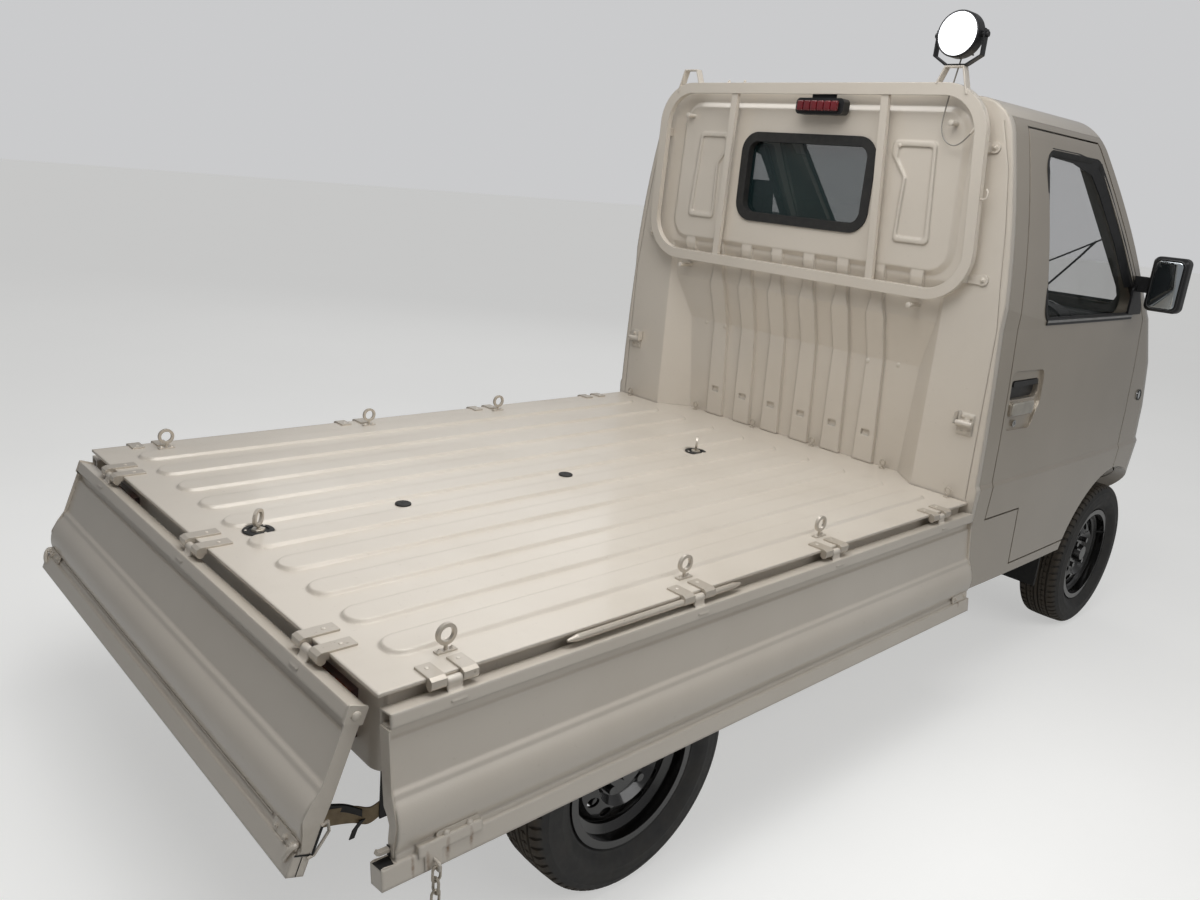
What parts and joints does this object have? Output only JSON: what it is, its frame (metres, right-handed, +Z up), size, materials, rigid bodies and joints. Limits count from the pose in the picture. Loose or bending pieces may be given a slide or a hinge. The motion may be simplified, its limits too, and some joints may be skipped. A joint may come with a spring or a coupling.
{
  "type": "kei truck",
  "caption": "Small cab-over truck with a ribbed drop-side bed, gates hanging open, tubular rear window guard, opening doors and steered front wheels.",
  "frame": {"origin": "middle of the footprint of the whole truck, on the road", "axes": "+X forward, +Y to the truck's left, +Z up"},
  "size_m": [3.5054, 1.7, 1.9419],
  "materials": {
    "cream_paint": "gloss",
    "champagne_paint": "metallic gloss",
    "black_steel": "gloss",
    "chassis_paint": "dull, dusty",
    "cast_parts": "dull",
    "zinc_fittings": "dull zinc with rust",
    "glass": "tinted",
    "black_rubber": "matt",
    "tyre": "matt",
    "grey_plastic": "matt",
    "black_plastic": "satin",
    "seat_vinyl": "satin vinyl",
    "lamp_lens": "clear",
    "red_lens": "ribbed lens"
  },
  "bodies": {
    "chassis": {"cab_roof": "cream_paint", "cab_front": "champagne_paint", "cab_side_left": "champagne_paint", "cab_side_right": "champagne_paint", "front_bumper": "champagne_paint", "cab_back": "cream_paint", "cab_glass": "glass", "black_trim": "black_rubber", "bed_floor": "cream_paint", "bed_fittings": "zinc_fittings", "ladder_frame": "chassis_paint", "cab_floor": "champagne_paint", "seats": "seat_vinyl", "dashboard": "grey_plastic", "engine": "cast_parts", "fuel_tank": "black_steel", "exhaust": "zinc_fittings", "leaf_springs": "black_steel", "front_suspension": "black_steel", "guard_frame": "cream_paint", "guard_lamps": "black_plastic", "tail_lamps": "red_lens", "mud_guards": "black_rubber", "rear_axle": "black_steel", "front_lamps": "lamp_lens", "lamp_cable": "black_rubber"},
    "door_left": {"door_left": "champagne_paint", "door_left_glass": "glass", "door_left_mirror": "black_plastic"},
    "door_right": {"door_right": "champagne_paint", "door_right_glass": "glass", "door_right_mirror": "black_plastic"},
    "gate_left": {"gate_left": "cream_paint"},
    "gate_right": {"gate_right": "cream_paint", "gate_chain": "zinc_fittings"},
    "tailgate": {"tailgate": "cream_paint"},
    "steering_wheel": {"steering_wheel": "black_plastic"},
    "knuckle_left": {"knuckle_left": "cast_parts"},
    "knuckle_right": {"knuckle_right": "cast_parts"},
    "wheel_front_left": {"wheel_front_left": "black_steel", "tyre_front_left": "tyre"},
    "wheel_front_right": {"wheel_front_right": "black_steel", "tyre_front_right": "tyre"},
    "wheel_rear_left": {"wheel_rear_left": "black_steel", "tyre_rear_left": "tyre"},
    "wheel_rear_right": {"wheel_rear_right": "black_steel", "tyre_rear_right": "tyre"}
  },
  "joints": [
    {"name": "steer_left", "type": "hinge", "parent": "chassis", "child": "knuckle_left", "pos_m": [1.3477, 0.596, 0.17], "axis": [0, -0.1994, 0.9799], "range_deg": [-35, 35]},
    {"name": "steer_right", "type": "hinge", "parent": "chassis", "child": "knuckle_right", "pos_m": [1.3477, -0.596, 0.17], "axis": [0, 0.1994, 0.9799], "range_deg": [-35, 35]},
    {"name": "wheel_front_left_spin", "type": "hinge", "parent": "knuckle_left", "child": "wheel_front_left", "pos_m": [1.3477, 0.652, 0.268], "axis": [0, 1, 0], "continuous": true},
    {"name": "wheel_front_right_spin", "type": "hinge", "parent": "knuckle_right", "child": "wheel_front_right", "pos_m": [1.3477, -0.652, 0.268], "axis": [0, 1, 0], "continuous": true},
    {"name": "wheel_rear_left_spin", "type": "hinge", "parent": "chassis", "child": "wheel_rear_left", "pos_m": [-1.0023, 0.652, 0.268], "axis": [0, 1, 0], "continuous": true},
    {"name": "wheel_rear_right_spin", "type": "hinge", "parent": "chassis", "child": "wheel_rear_right", "pos_m": [-1.0023, -0.652, 0.268], "axis": [0, 1, 0], "continuous": true},
    {"name": "steering_wheel_turn", "type": "hinge", "parent": "chassis", "child": "steering_wheel", "pos_m": [1.1477, -0.325, 1.005], "axis": [-0.5299, 0, 0.848], "range_deg": [-560, 560]},
    {"name": "door_left_hinge", "type": "hinge", "parent": "chassis", "child": "door_left", "pos_m": [1.3277, 0.738, 0.9], "axis": [0, 0, -1], "range_deg": [0, 65]},
    {"name": "door_right_hinge", "type": "hinge", "parent": "chassis", "child": "door_right", "pos_m": [1.3277, -0.738, 0.9], "axis": [0, 0, 1], "range_deg": [0, 65]},
    {"name": "gate_left_hinge", "type": "hinge", "parent": "chassis", "child": "gate_left", "pos_m": [-0.6748, 0.721, 0.64], "axis": [1, 0, 0], "range_deg": [0, 172]},
    {"name": "gate_right_hinge", "type": "hinge", "parent": "chassis", "child": "gate_right", "pos_m": [-0.6748, -0.721, 0.64], "axis": [-1, 0, 0], "range_deg": [0, 172]},
    {"name": "tailgate_hinge", "type": "hinge", "parent": "chassis", "child": "tailgate", "pos_m": [-1.6313, 0, 0.64], "axis": [0, 1, 0], "range_deg": [0, 160]}
  ],
  "couplings": [
    {"joint": "steer_left", "follows": "steer_right", "ratio": 1},
    {"joint": "steering_wheel_turn", "follows": "steer_right", "ratio": 16}
  ]
}
